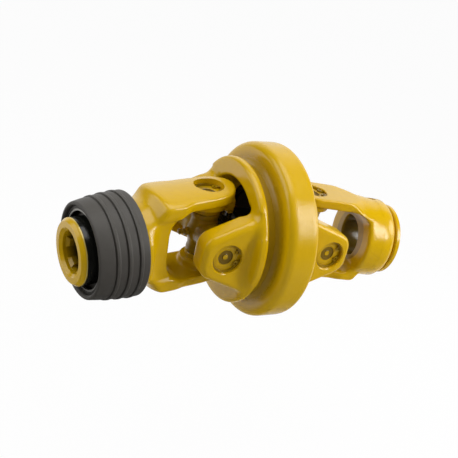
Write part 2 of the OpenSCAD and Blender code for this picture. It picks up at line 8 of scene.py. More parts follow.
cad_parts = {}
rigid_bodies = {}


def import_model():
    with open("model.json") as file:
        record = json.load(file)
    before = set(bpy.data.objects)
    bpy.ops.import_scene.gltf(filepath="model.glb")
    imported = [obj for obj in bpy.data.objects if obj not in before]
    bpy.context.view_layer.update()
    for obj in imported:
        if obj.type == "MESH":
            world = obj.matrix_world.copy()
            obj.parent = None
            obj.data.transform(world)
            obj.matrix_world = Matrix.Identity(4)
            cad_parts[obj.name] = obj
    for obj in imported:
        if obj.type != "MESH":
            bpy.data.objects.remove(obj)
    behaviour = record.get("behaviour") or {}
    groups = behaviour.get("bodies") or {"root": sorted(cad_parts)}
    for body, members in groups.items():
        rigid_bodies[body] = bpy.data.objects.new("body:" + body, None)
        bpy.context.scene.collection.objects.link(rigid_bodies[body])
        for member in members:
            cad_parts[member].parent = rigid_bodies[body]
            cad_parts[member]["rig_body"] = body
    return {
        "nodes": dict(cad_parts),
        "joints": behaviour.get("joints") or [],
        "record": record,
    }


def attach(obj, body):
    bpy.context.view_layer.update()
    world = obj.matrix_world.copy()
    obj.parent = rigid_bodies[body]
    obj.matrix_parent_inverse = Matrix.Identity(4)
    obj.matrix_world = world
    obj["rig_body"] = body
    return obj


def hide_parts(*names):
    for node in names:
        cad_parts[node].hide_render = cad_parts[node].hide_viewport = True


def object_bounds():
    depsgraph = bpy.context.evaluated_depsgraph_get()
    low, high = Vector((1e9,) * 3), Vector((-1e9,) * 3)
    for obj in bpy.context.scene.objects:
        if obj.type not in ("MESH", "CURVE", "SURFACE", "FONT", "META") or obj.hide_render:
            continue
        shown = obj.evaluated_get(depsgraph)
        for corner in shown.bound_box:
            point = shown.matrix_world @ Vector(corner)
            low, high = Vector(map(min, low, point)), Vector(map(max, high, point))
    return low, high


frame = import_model()
cadBox = [list(corner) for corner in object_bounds()]
nodes = frame["nodes"]
joints = {joint["name"]: joint for joint in frame["joints"]}
mounts = {mount["name"]: mount for mount in frame["record"]["mounts"]}
mm = 0.001
scene = bpy.context.scene
scene.view_settings.view_transform = "Standard"
print("frame loaded:", len(nodes), "pieces")


# Places of the three big bodies: X along the shaft, Y away from the viewer, Z up the ears
def placeAt(origin, alongX, alongY):
    x = Vector(alongX).normalized()
    z = x.cross(Vector(alongY)).normalized()
    place = Matrix((x, z.cross(x), z)).transposed().to_4x4()
    place.translation = Vector(origin)
    return place


leftCentre = Vector(joints["left_ear_turn"]["pos_m"])
rightCentre = Vector(joints["right_ear_turn"]["pos_m"])
pinAxis = Vector(joints["left_pin_turn"]["axis"])
tubeAxis = Vector(mounts["barrel_end"]["axis"])
tubeEarAxis = Vector(joints["right_ear_turn"]["axis"])
tractorPlace = placeAt(leftCentre, (1, 0, 0), (0, 1, 0))
housingPlace = placeAt((leftCentre + rightCentre) / 2, rightCentre - leftCentre, pinAxis)
tubePlace = placeAt(rightCentre, tubeAxis, tubeEarAxis.cross(tubeAxis))
crossReach = (rightCentre - leftCentre).length / 2


# Camera, as it stood for the photograph
camera = {
    "stand": (-0.20232, -0.4626, 0.29621),
    "forward": (0.543739, 0.703642, -0.457424),
    "right": (0.826235, -0.544438, 0.144651),
    "focalPixels": 720,
    "imagePixels": 458,
    "sensorMm": 36,
    "clip": (0.02, 20),
}


def standCamera(settings):
    forward = Vector(settings["forward"]).normalized()
    right = Vector(settings["right"]).normalized()
    data = bpy.data.cameras.new("photoCamera")
    data.sensor_width = settings["sensorMm"]
    data.lens = settings["sensorMm"] * settings["focalPixels"] / settings["imagePixels"]
    data.clip_start, data.clip_end = settings["clip"]
    stand = bpy.data.objects.new("photoCamera", data)
    turn = Matrix((right, right.cross(forward), -forward)).transposed().to_4x4()
    turn.translation = Vector(settings["stand"])
    stand.matrix_world = turn
    scene.collection.objects.link(stand)
    scene.camera = stand


standCamera(camera)


# Maths in Python for node trees: a Wire is one socket, a Graph makes the nodes of one tree, and a
# Finish is the Graph of a material or of the world
class Wire:
    def __init__(self, graph, socket):
        self.graph = graph
        self.socket = socket

    # another output of the same node
    def output(self, key):
        return Wire(self.graph, self.socket.node.outputs[key])

    def maths(self, operation, *numbers):
        return self.graph.maths(operation, *numbers)

    def __add__(self, other):
        return self.maths("ADD", self, other)

    def __sub__(self, other):
        return self.maths("SUBTRACT", self, other)

    def __rsub__(self, other):
        return self.maths("SUBTRACT", other, self)

    def __mul__(self, other):
        return self.maths("MULTIPLY", self, other)

    def __truediv__(self, other):
        return self.maths("DIVIDE", self, other)

    def __rtruediv__(self, other):
        return self.maths("DIVIDE", other, self)

    def __pow__(self, other):
        return self.maths("POWER", self, other)

    __radd__ = __add__
    __rmul__ = __mul__


class Graph:
    def __init__(self, tree):
        self.tree = tree
        self.tree.nodes.clear()

    # settings are set first, then the sockets, by place in a list or by name in a dictionary
    def node(self, kind, settings=None, inputs=(), output=0):
        made = self.tree.nodes.new(kind)
        for key, value in (settings or {}).items():
            setattr(made, key, value)
        pairs = inputs.items() if isinstance(inputs, dict) else enumerate(inputs)
        for key, value in pairs:
            if isinstance(value, Wire):
                self.tree.links.new(value.socket, made.inputs[key])
            elif value is not None:
                made.inputs[key].default_value = value
        return Wire(self, made.outputs[output]) if made.outputs else None

    def maths(self, operation, *numbers):
        return self.node("ShaderNodeMath", {"operation": operation}, numbers)

    # 0 below the first number and 1 above the second, smooth between
    def step(self, value, start, end, kind="SMOOTHSTEP", low=0, high=1):
        return self.node(
            "ShaderNodeMapRange", {"interpolation_type": kind},
            {"Value": value, "From Min": start, "From Max": end, "To Min": low, "To Max": high},
        )

    # 1 between two numbers of a value, with soft ends
    def between(self, value, start, end, soft):
        return self.step(value, start - soft, start + soft) * (1 - self.step(value, end - soft, end + soft))


class Finish(Graph):
    def __init__(self, name, owners=bpy.data.materials):
        self.owner = owners.new(name)
        self.owner.use_nodes = True
        super().__init__(self.owner.node_tree)

    def place(self):
        return self.node("ShaderNodeTexCoord", output="Object")

    def noise(self, scale, detail=2, roughness=0.5, vector=None):
        return self.node(
            "ShaderNodeTexNoise", {},
            {"Vector": vector or self.place(), "Scale": scale, "Detail": detail, "Roughness": roughness},
        )

    def mixed(self, share, first, second):
        return self.node(
            "ShaderNodeMix", {"data_type": "RGBA"}, {0: share, 6: colour(first), 7: colour(second)}, output=2
        )

    def dot(self, vector, direction):
        return self.node(
            "ShaderNodeVectorMath", {"operation": "DOT_PRODUCT"}, [vector, tuple(direction)], output="Value"
        )

    # distance along and from the X axis of a place
    def turnedPlace(self, place):
        shifted = self.node(
            "ShaderNodeVectorMath", {"operation": "SUBTRACT"}, [self.place(), tuple(place.translation)]
        )
        x, y, z = (self.dot(shifted, place.to_3x3().col[i]) for i in range(3))
        return x, (y * y + z * z) ** 0.5

    def bump(self, height, strength, distance, normal=None):
        return self.node(
            "ShaderNodeBump", {},
            {"Height": height, "Strength": strength, "Distance": distance, "Normal": normal},
        )

    def surface(self, **sockets):
        shader = self.node(
            "ShaderNodeBsdfPrincipled", {}, {key.replace("_", " "): value for key, value in sockets.items()}
        )
        self.node("ShaderNodeOutputMaterial", {}, [shader])
        return self.owner


def colour(value):
    return value if isinstance(value, Wire) else (*value, 1)


# sRGB from 0 to 255 as linear light
def shade(red, green, blue):
    levels = [value / 255 for value in (red, green, blue)]
    return tuple(((c + 0.055) / 1.055) ** 2.4 if c > 0.04 else c / 12.92 for c in levels)


paint = {
    "lit": shade(214, 173, 0),
    "deep": shade(202, 159, 0),
    "paleEdge": shade(232, 222, 150),
    # grease: grease on the hub, and painted shade deep in the bores
    "grease": shade(20, 21, 17),
    # dust: the darker olive of the painted shade in the valley between plate and drum
    "dust": shade(126, 96, 2),
    # thinPaintAndShade: darker olive for thin paint and painted shade on parts that sit in shade
    "thinPaintAndShade": shade(128, 100, 6),
    "smear": shade(62, 49, 10),
    "gloss": 0.2,
    "cloudScale": 22,
    "swellScale": 90,
    "speckScale": 260,
    "grainScale": 420,
    "peelScale": 1100,
}


# Ochre paint over forged or cast steel. grain is how far the casting's skin shows through, and
# extras is a function that changes the paint's colour, roughness, metal and relief in places
def makePaint(name, grain, extras=None, **settings):
    made = Finish(name)
    clouds = made.noise(paint["cloudScale"], 3)
    specks = made.noise(paint["speckScale"], 2)
    base = made.mixed(clouds * 0.7 + specks * 0.3, paint["deep"], paint["lit"])
    cast = made.noise(paint["grainScale"], 3, 0.6)
    normal = made.bump(made.noise(paint["swellScale"], 2), 0.12, 0.002)
    normal = made.bump(cast, grain, 0.0006, normal)
    normal = made.bump(made.noise(paint["peelScale"], 1), 0.05, 0.0002, normal)
    rough = clouds * 0.06 + specks * 0.05 + (paint["gloss"] - 0.05)
    parts = {"base": base, "rough": rough, "metal": 0, "normal": normal}
    if extras:
        extras(made, parts, **settings)
    return made.surface(
        Base_Color=parts["base"], Roughness=parts["rough"], Metallic=parts["metal"], Normal=parts["normal"]
    )


# Painted shade in the valley between the plate and the drum: the paint turns a darker olive and a little
# rougher there
valley = {
    "from": -0.0213,
    "to": -0.0078,
    "floor": (0.0585, 0.0598),
    "top": (0.0615, 0.073),
    "share": 0.6,
}


def valleyPaintedShade(made, parts):
    along, away = made.turnedPlace(housingPlace)
    # painted shade: dusty marks the valley floor between plate and drum
    dusty = made.between(along, valley["from"], valley["to"], 0.0006) * made.step(away, *valley["floor"])
    dusty = dusty * (1 - made.step(away, *valley["top"]))
    parts["base"] = made.mixed(dusty * valley["share"], parts["base"], paint["dust"])
    parts["rough"] = parts["rough"] + dusty * 0.1


# The drum: painted shade in the valley beside it, and fine lines from the lathe around it
def turningLines(made, parts, radius, scale, depth):
    valleyPaintedShade(made, parts)
    along, away = made.turnedPlace(housingPlace)
    lines = made.node(
        "ShaderNodeTexNoise", {"noise_dimensions": "1D"},
        {"W": along, "Scale": scale, "Detail": 3, "Roughness": 0.7},
    )
    where = made.step(away, radius, radius + 0.0005)
    parts["normal"] = made.bump(lines * where, depth, 0.0004, parts["normal"])
    parts["rough"] = parts["rough"] + lines * where * 0.08


# The tractor yoke's hub: a pale, partly metallic ring at the flange's edge, grease behind it, and painted
# shade that darkens the bore with depth
def hubRingGreaseAndBoreShade(made, parts, flange, greasyTo, boreRadius, wornRadius):
    along, away = made.turnedPlace(Matrix.Identity(4))
    smear = made.noise(70, 3) * 0.0012 - 0.0006
    grease = made.between(along + smear, flange, greasyTo, 0.0004)
    grease = grease * made.step(away, boreRadius, boreRadius + 0.002)
    # painted shade: depth darkens the spline bore from its mouth inwards
    depth = made.step(along, 0, 0.016) * (1 - made.step(away, boreRadius, boreRadius + 0.001)) * 0.96
    # a pale, partly metallic ring at the back edge of the flange
    worn = made.between(along + smear * 0.3, flange - 0.0008, flange - 0.0002, 0.00012)
    worn = worn * made.step(away, wornRadius, wornRadius + 0.0002) * 0.7
    dark = made.maths("MAXIMUM", grease, depth)
    parts["base"] = made.mixed(dark, parts["base"], paint["grease"])
    parts["base"] = made.mixed(worn, parts["base"], paint["paleEdge"])
    parts["metal"] = worn * 0.4


# Painted shade in a bore: the paint darkens towards near-black from a place along its axis on
def boreDepthShade(made, parts, place, radius, start, full):
    along, away = made.turnedPlace(place)
    deep = made.step(along + made.noise(60, 3) * 0.004, start, full)
    deep = deep * (1 - made.step(away, radius, radius + 0.001))
    parts["base"] = made.mixed(deep * 0.8, parts["base"], paint["grease"])


# Random grease smears over paint darkened by a share towards olive, as thin paint and painted shade where
# parts sit in shade; on the crosses and what sits in the bores
def greaseAndShade(made, parts, share):
    smears = made.step(made.noise(40, 3, 0.5), 0.5 - share * 0.4, 0.85)
    thinPaintAndShade = made.mixed(share, parts["base"], paint["thinPaintAndShade"])
    parts["base"] = made.mixed(smears * 0.6, thinPaintAndShade, paint["smear"])
    parts["rough"] = parts["rough"] + smears * 0.05 + share * 0.12


rubber = {
    "collar": shade(64, 61, 56),
    "dusty": shade(79, 75, 69),
    "seal": shade(28, 27, 26),
    "sealPale": shade(44, 42, 40),
}


def makeCollarRubber():
    made = Finish("collarRubber")
    dust = made.noise(60, 4, 0.6)
    grain = made.noise(1900, 2, 0.6)
    base = made.mixed(dust * 0.6 + grain * 0.4, rubber["collar"], rubber["dusty"])
    normal = made.bump(grain, 0.3, 0.0003)
    return made.surface(Base_Color=base, Roughness=dust * 0.12 + 0.48, Normal=normal, Metallic=0)


steels = {
    "groundSteel": {"colour": shade(160, 157, 150), "rough": 0.26, "stain": 0.12},
    "greasedSteel": {"colour": shade(74, 70, 62), "rough": 0.32, "stain": 0.22},
    "zincPlate": {"colour": shade(196, 190, 170), "rough": 0.3, "stain": 0.1},
}


def makeSteel(name, settings):
    made = Finish(name)
    stain = made.noise(90, 4, 0.6)
    fine = made.noise(2400, 2)
    darker = tuple(c * (1 - 2 * settings["stain"]) for c in settings["colour"])
    base = made.mixed(stain, darker, settings["colour"])
    normal = made.bump(fine, 0.08, 0.0002)
    return made.surface(
        Base_Color=base, Metallic=1, Roughness=stain * settings["stain"] + settings["rough"], Normal=normal
    )


def makeSealRubber():
    made = Finish("sealRubber")
    fine = made.noise(1500, 2)
    base = made.mixed(fine, rubber["seal"], rubber["sealPale"])
    return made.surface(Base_Color=base, Roughness=fine * 0.1 + 0.45, Metallic=0)


materials = {
    "flangePaint": makePaint("flangePaint", 0.14, valleyPaintedShade),
    "turnedPaint": makePaint("turnedPaint", 0.08, turningLines, radius=0.0785, scale=1100, depth=0.24),
    "hubPaint": makePaint(
        "hubPaint", 0.12, hubRingGreaseAndBoreShade, flange=0.0046, greasyTo=0.05, boreRadius=0.0205, wornRadius=0.0272
    ),
    "tubePaint": makePaint(
        "tubePaint", 0.14, boreDepthShade, place=tubePlace, radius=0.0245, start=0.052, full=0.062
    ),
    "pressedPaint": makePaint("pressedPaint", 0.03),
    # their shares darken the paint as painted shade: most on the crosses, clips and nipples, little on the
    # cups, nearly all in the cup recesses
    "greaseAndShadePaint": makePaint("greaseAndShadePaint", 0.1, greaseAndShade, share=0.6),
    "cupPaint": makePaint("cupPaint", 0.1, greaseAndShade, share=0.2),
    "recessShadePaint": makePaint("recessShadePaint", 0.1, greaseAndShade, share=0.95),
    "collarRubber": makeCollarRubber(),
    "sealRubber": makeSealRubber(),
}
for name, settings in steels.items():
    materials[name] = makeSteel(name, settings)
print("materials made:", len(materials))


def paintNode(node, material):
    mesh = nodes[node].data
    mesh.materials.clear()
    mesh.materials.append(materials[material])


# Finishes of the solids, by the record's material slot, and by the start of a name the greased steel and the
# paint darkened by grease and painted shade
finishBySlot = {
    "yellow_paint": "pressedPaint",
    "collar_black": "collarRubber",
    "bright_steel": "groundSteel",
    "dark_steel": "greasedSteel",
    "seal_rubber": "sealRubber",
    "zinc_plate": "zincPlate",
}
finishByStart = {
    "clips": "greaseAndShadePaint",
    "left_cross": "greaseAndShadePaint",
    "right_cross": "greaseAndShadePaint",
    "guide_disc": "greasedSteel",
    "front_cover": "greasedSteel",
    "back_cover": "greasedSteel",
    "left_ball": "greasedSteel",
    "right_ball": "greasedSteel",
    "collar_sleeve": "greasedSteel",
}
slotOf = {part["node"]: part["material_slot"] for part in frame["record"]["subparts"]}
for node in nodes:
    special = [finish for start, finish in finishByStart.items() if node.startswith(start)]
    paintNode(node, special[0] if special else finishBySlot[slotOf[node]])


# Mesh tools, in millimetres on a body's own place
def newMesh(name, corners, faces):
    mesh = bpy.data.meshes.new(name)
    mesh.from_pydata([Vector(corner) * mm for corner in corners], [], faces)
    shape = bmesh.new()
    shape.from_mesh(mesh)
    bmesh.ops.remove_doubles(shape, verts=shape.verts, dist=1e-7)
    bmesh.ops.recalc_face_normals(shape, faces=shape.faces)
    shape.to_mesh(mesh)
    shape.free()
    return mesh


# Turned about X from (x, radius) points that start and end on the axis, or that close a ring
def turnedMesh(name, outline, sides=128):
    corners, faces = [], []
    for x, r in outline:
        for i in range(sides):
            a = 2 * math.pi * i / sides
            corners.append((x, r * math.cos(a), r * math.sin(a)))
    for row in range(len(outline) - 1):
        for i in range(sides):
            j = (i + 1) % sides
            faces.append((row * sides + i, row * sides + j, (row + 1) * sides + j, (row + 1) * sides + i))
    return cleanMesh(newMesh(name, corners, faces))


# An outline in Y and Z, pulled along X
def pulledMesh(name, outline, start, end):
    count = len(outline)
    corners = [(start, y, z) for y, z in outline] + [(end, y, z) for y, z in outline]
    faces = [tuple(range(count)), tuple(range(2 * count - 1, count - 1, -1))]
    for i in range(count):
        j = (i + 1) % count
        faces.append((i, i + count, j + count, j))
    return newMesh(name, corners, faces)


def moved(mesh, matrix):
    mesh.transform(matrix)
    return mesh


# The same along Z from an outline in X and Y, and along Y from an outline in X and Z
def pulledUp(name, outline, start, end):
    turn = Matrix(((0, 1, 0), (0, 0, 1), (1, 0, 0))).to_4x4()
    return moved(pulledMesh(name, outline, start, end), turn)


def pulledAside(name, outline, start, end):
    turn = Matrix(((0, 0, 1), (1, 0, 0), (0, 1, 0))).to_4x4()
    return moved(pulledMesh(name, [(z, x) for x, z in outline], start, end), turn)


def arcPoints(cx, cy, r, start, end, count=8):
    angles = [math.radians(start + (end - start) * i / count) for i in range(count + 1)]
    return [(cx + r * math.cos(a), cy + r * math.sin(a)) for a in angles]


def mirrored(outline):
    return outline + [(x, -y) for x, y in reversed(outline)]


def cleanMesh(mesh):
    shape = bmesh.new()
    shape.from_mesh(mesh)
    bmesh.ops.dissolve_degenerate(shape, edges=shape.edges, dist=1e-7)
    bmesh.ops.recalc_face_normals(shape, faces=shape.faces)
    shape.to_mesh(mesh)
    shape.free()
    return mesh


def joinedMesh(name, meshes):
    shape = bmesh.new()
    for mesh in meshes:
        shape.from_mesh(mesh)
    made = bpy.data.meshes.new(name)
    shape.to_mesh(made)
    shape.free()
    return made


# A CAD solid's mesh as a merged copy
def solidOf(node):
    shape = bmesh.new()
    shape.from_mesh(nodes[node].data)
    bmesh.ops.remove_doubles(shape, verts=shape.verts, dist=1e-7)
    made = bpy.data.meshes.new(node + "Solid")
    shape.to_mesh(made)
    shape.free()
    return made


def addObject(name, mesh):
    made = bpy.data.objects.new(name, mesh)
    scene.collection.objects.link(made)
    return made


# Runs the object's modifiers into a plain mesh
def settle(made):
    bpy.context.view_layer.update()
    evaluated = made.evaluated_get(bpy.context.evaluated_depsgraph_get())
    mesh = bpy.data.meshes.new_from_object(evaluated)
    made.modifiers.clear()
    made.data = mesh


# Booleans between closed meshes, one after the other
def combined(operation, first, *others):
    made = addObject("combined", first)
    for mesh in others:
        tool = addObject("tool", mesh)
        step = made.modifiers.new("step", "BOOLEAN")
        step.operation = operation
        step.solver = "MANIFOLD"
        step.object = tool
        settle(made)
        bpy.data.objects.remove(tool)
    mesh = made.data
    bpy.data.objects.remove(made)
    return mesh


# Rounds a mesh as forging does: a vertex moves to the middle of its neighbours, by its own share
def relaxed(mesh, passes, shareAt=None):
    count = len(mesh.vertices)
    places = numpy.empty(count * 3)
    ends = numpy.empty(len(mesh.edges) * 2, dtype=numpy.int32)
    mesh.vertices.foreach_get("co", places)
    mesh.edges.foreach_get("vertices", ends)
    places = places.reshape(-1, 3)
    first, second = ends[::2], ends[1::2]
    neighbours = numpy.bincount(ends, minlength=count)
    share = 0.5 * (shareAt(*(places.T / mm)) if shareAt else numpy.ones(count))
    for _ in range(passes):
        sums = [
            numpy.bincount(first, axis[second], count) + numpy.bincount(second, axis[first], count)
            for axis in places.T
        ]
        places += (numpy.stack(sums, 1) / neighbours[:, None] - places) * share[:, None]
    mesh.vertices.foreach_set("co", places.ravel())
    mesh.update()


# 0 below start and 1 above end, for arrays
def ramp(value, start, end):
    return numpy.clip((value - start) / (end - start), 0, 1)


turnToZ = Matrix.Rotation(math.radians(-90), 4, "Y")
turnToY = Matrix.Rotation(math.radians(90), 4, "Z")
turnDown = Matrix.Rotation(math.pi, 4, "X") @ turnToZ
turnToFront = Matrix.Rotation(math.pi, 4, "Z") @ turnToY


# A plain turned cylinder along X
def rodMesh(name, start, end, radius, sides=128):
    return turnedMesh(name, [(start, 0), (start, radius), (end, radius), (end, 0)], sides)


# A turned shape twice, up and down for turnToZ, back and front for turnToY
def bothWays(name, outline, turn, sides, middle=(0, 0, 0)):
    shift = Matrix.Translation(Vector(middle) * mm)
    other = turnDown if turn is turnToZ else turnToFront
    return [moved(turnedMesh(name, outline, sides), shift @ way) for way in (turn, other)]


bearing = {
    "yokeSpan": 74.6,
    "housingSpan": 100,
    "boreRadius": 13.52,
    "boreLength": 26,
    "clipRadius": 14.4,
    "clipWidth": 1.6,
    "clipPlay": 0.05,
    "mouthChamfer": 0.7,
    "plugRadius": 16,
}


# Both bearing bores of one axis, with the circlip's groove and a chamfer at the mouth
def bearingCutters(span, outer, turn, middle=(0, 0, 0)):
    b = bearing
    inner = span / 2 - b["boreLength"]
    clipStart = span / 2 + b["clipPlay"]
    clipEnd = clipStart + b["clipWidth"]
    r, chamfer = b["boreRadius"], b["mouthChamfer"]
    outline = [
        (inner, 0), (inner, r), (clipStart, r), (clipStart, b["clipRadius"]), (clipEnd, b["clipRadius"]),
        (clipEnd, r), (outer - chamfer, r), (outer + 1, r + chamfer + 1), (outer + 3, r + chamfer + 1),
        (outer + 3, 0),
    ]
    return bothWays("bearingCut", outline, turn, 96, middle)


# Fills the bearing bores before the casting is rounded, so that its outside stays whole
def bearingPlugs(inner, outer, radius, turn, middle=(0, 0, 0)):
    outline = [(inner, 0), (inner, radius), (outer, radius), (outer, 0)]
    return bothWays("bearingPlug", outline, turn, 64, middle)


# A forging or casting: a blank with its bores filled, rounded all over and more where softer says,
# then turned and bored again
def forge(node, place, blank, turnedParts, cutters, settings, softer=None):
    made = addObject(settings["name"], blank)
    remesh = made.modifiers.new("skin", "REMESH")
    remesh.mode = "VOXEL"
    remesh.voxel_size = settings["voxel"] * mm
    settle(made)
    relaxed(made.data, settings["rounds"])
    if softer:
        relaxed(made.data, settings["softRounds"], softer)
    mesh = made.data
    bpy.data.objects.remove(made)
    if turnedParts:
        mesh = combined("UNION", mesh, *turnedParts)
    mesh = combined("DIFFERENCE", mesh, *cutters)
    dress(addObject(settings["name"], finished(moved(mesh, place), settings)), node)


# One material and smooth faces, sharp where they meet at more than an angle
def finished(mesh, settings):
    mesh.materials.clear()
    mesh.materials.append(materials[settings["material"]])
    for face in mesh.polygons:
        face.use_smooth = True
    mesh.set_sharp_from_angle(angle=math.radians(settings["sharpAngle"]))
    return mesh


# Puts a finished object in the place of a CAD node, on that node's body
def dress(made, node):
    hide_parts(node)
    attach(made, nodes[node]["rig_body"])
    print(made.name, "made:", len(made.data.polygons), "faces")


# The bridge between two ears that holds the ball stud, towards +X, and the bosses round the bores
bridge = {
    "outside": [(10, 31), (21, 34), (22, 30), (25, 13)],
    "hollow": [(0, 24), (15, 22), (19, 12)],
    "waist": [(14, 24), (8, 14)],
    "endHalf": 16,
    "sweep": 25.2,
    "back": 19,
    "front": 25,
    "boreRadius": 6.02,
    "bossRadius": 18.5,
    "bossInner": 25,
}


def bridgeMeshes(inside, top, towards):
    b = bridge
    side = combined(
        "DIFFERENCE",
        pulledAside("bridgeSide", mirrored(b["outside"]), -b["endHalf"], b["endHalf"]),
        pulledAside("bridgeHollow", mirrored(b["hollow"]), -30, 30),
    )
    half = mirrored([(b["endHalf"], inside + 3)] + b["waist"])
    waist = half + [(-y, -z) for y, z in half]
    limit = moved(rodMesh("bridgeLimit", -50, 50, b["sweep"]), turnToZ)
    made = combined("INTERSECT", side, pulledMesh("bridgeWaist", waist, 0, b["front"] + 1), limit)
    bosses = bearingPlugs(b["bossInner"], top - 2, b["bossRadius"], turnToZ)
    flip = Matrix.Rotation(0 if towards > 0 else math.pi, 4, "Z")
    return [moved(mesh, flip) for mesh in [made] + bosses]


def studBore(towards):
    bore = rodMesh("studBore", bridge["back"] - 3, bridge["front"] + 3, bridge["boreRadius"], 64)
    return moved(bore, Matrix.Rotation(0 if towards > 0 else math.pi, 4, "Z"))


# A window between two ears, open towards +X or -X, with round corners at its back wall
def windowMesh(backWall, inside, corner, reach, towards):
    centre = backWall + towards * corner
    angles = (180, 90) if towards > 0 else (0, 90)
    top = arcPoints(centre, inside - corner, corner, *angles) + [(centre + towards * reach, inside)]
    return pulledAside("window", mirrored(top), -60, 60)


# Tractor yoke: crowned ears, wide shoulders at their roots and a narrower wall between them
tractorYoke = {
    "name": "tractorYokeForging",
    "material": "hubPaint",
    "voxel": 0.9,
    "rounds": 10,
    "softRounds": 26,
    "sharpAngle": 32,
    "top": 44.6,
    "inside": 32,
    "crownRadius": 80,
    "tip": 24,
    "tipRadius": 22,
    "earHalf": 23,
    "shoulderHalf": 26.4,
    "shoulderFrom": 28,
    "wallHalf": 23.4,
    "backWall": -47,
    "windowCorner": 19,
    "neckStart": -76.5,
    "neckEnd": -65.2,
    "neckRadius": 36,
    "outsideRadius": 48,
    "mouth": -126,
    "hubRadius": 28,
    "reliefRadius": 26.3,
    "reliefStart": -101,
    "hubEnd": -96,
    "splineMajor": 35,
    "splineMinor": 30,
    "splineWidth": 8.7,
    "splineCount": 6,
    "splineStart": -121,
    "splineEnd": -40,
    "pilotRadius": 17.6,
    "ballHole": -98,
    "ballHoleRadius": 6.56,
}


def tractorBlank(s):
    tip, neck, radius = s["tip"], s["neckEnd"], s["outsideRadius"]
    turnedShape = turnedMesh("tractorTurned", [
        (s["mouth"] + 16, 0), (s["mouth"] + 16, s["reliefRadius"]), (s["neckStart"], s["reliefRadius"]),
        (s["neckStart"], s["neckRadius"] - 2), (s["neckStart"] + 2, s["neckRadius"]),
        (neck, s["neckRadius"]), (neck + 4, s["neckRadius"] + 1.4), (neck + 8, s["neckRadius"] + 5.5),
        *arcPoints(-48, radius - 9, 9, 150, 90), (tip + 1, radius), (tip + 1, 0),
    ])
    crown, low = s["crownRadius"], s["crownRadius"] - s["top"]
    widths = [-50 + 2 * i for i in range(51)]
    section = [(y, math.sqrt(crown ** 2 - y ** 2) - low) for y in widths]
    section += [(y, -z) for y, z in reversed(section)]
    crowned = combined("INTERSECT", turnedShape, pulledMesh("crown", section, s["mouth"], tip + 2))
    root, shoulder = neck - 1, s["shoulderFrom"]
    window = windowMesh(s["backWall"], s["inside"], s["windowCorner"], 80, 1)
    parts = []
    for half, bottom, top in (
        (s["shoulderHalf"], shoulder, s["top"]),
        (s["wallHalf"], -shoulder - 1, shoulder + 1),
        (s["shoulderHalf"], -s["top"], -shoulder),
    ):
        outline = [(tip, 0)] + arcPoints(tip - s["tipRadius"], 0, s["tipRadius"], 0, 90)[1:]
        outline += [
            (-12, s["earHalf"]), (-28, s["earHalf"] + 0.4), (-36, half), (root + 8, half + 0.4),
            (root + 3, half + 2.5), (root, half + 7), (root - 1.5, 60), (s["mouth"], 60),
        ]
        outline += [(x, -y) for x, y in reversed(outline[1:])]
        part = combined("INTERSECT", crowned.copy(), pulledUp("plan", outline, bottom, top))
        parts.append(combined("DIFFERENCE", part, window.copy()))
    return parts


def splineOutline(s):
    major, minor = s["splineMajor"] / 2, s["splineMinor"] / 2
    half = math.degrees(math.asin(s["splineWidth"] / 2 / major))
    halfIn = math.degrees(math.asin(s["splineWidth"] / 2 / minor))
    step = 360 / s["splineCount"]
    outline = []
    for i in range(s["splineCount"]):
        middle = 90 + i * step
        outline += arcPoints(0, 0, major, middle - half, middle + half, 6)
        outline += arcPoints(0, 0, minor, middle + halfIn, middle + step - halfIn, 6)
    return outline


def buildTractorYoke(s):
    plugs = bearingPlugs(bridge["bossInner"] + 0.5, s["top"] - 2.2, bearing["plugRadius"], turnToZ)
    blank = joinedMesh("tractorBlank", tractorBlank(s) + bridgeMeshes(s["inside"], s["top"], 1) + plugs)
    hub = turnedMesh("hub", [
        (s["mouth"], 0), (s["mouth"], s["hubRadius"] - 2.6),
        (s["mouth"] + 0.6, s["hubRadius"] - 2), (s["mouth"] + 2.6, s["hubRadius"] - 0.4),
        (s["mouth"] + 3.4, s["hubRadius"]), (s["reliefStart"], s["hubRadius"]),
        (s["reliefStart"] + 1, s["reliefRadius"]), (s["hubEnd"], s["reliefRadius"]), (s["hubEnd"], 0),
    ])
    bore = pulledMesh("splineCut", splineOutline(s), s["splineStart"], s["splineEnd"])
    lead = s["splineStart"]
    mouth = turnedMesh("mouthCut", [
        (s["mouth"] - 1, 0), (s["mouth"] - 1, 20.9), (s["mouth"], 20.4), (s["mouth"] + 2.4, s["pilotRadius"]),
        (lead, s["pilotRadius"]), (lead + 2.6, s["splineMinor"] / 2 - 0.1), (lead + 2.6, 0),
    ])
    cutters = bearingCutters(bearing["yokeSpan"], s["top"], turnToZ) + [bore, mouth, studBore(1)]
    reach = Matrix.Translation((s["ballHole"] * mm, 0, 0)) @ turnToZ
    for turn in (0, 120, 240):
        hole = rodMesh("ballHole", 12, 32, s["ballHoleRadius"], 48)
        cutters.append(moved(hole, Matrix.Rotation(math.radians(turn), 4, "X") @ reach))

    # softest at the neck and the shoulders, least in the ears
    def softer(x, y, z):
        return 1 - ramp(x, -52, -20) * 0.8

    forge("tractor_yoke", tractorPlace, blank, [hub], cutters, s, softer)


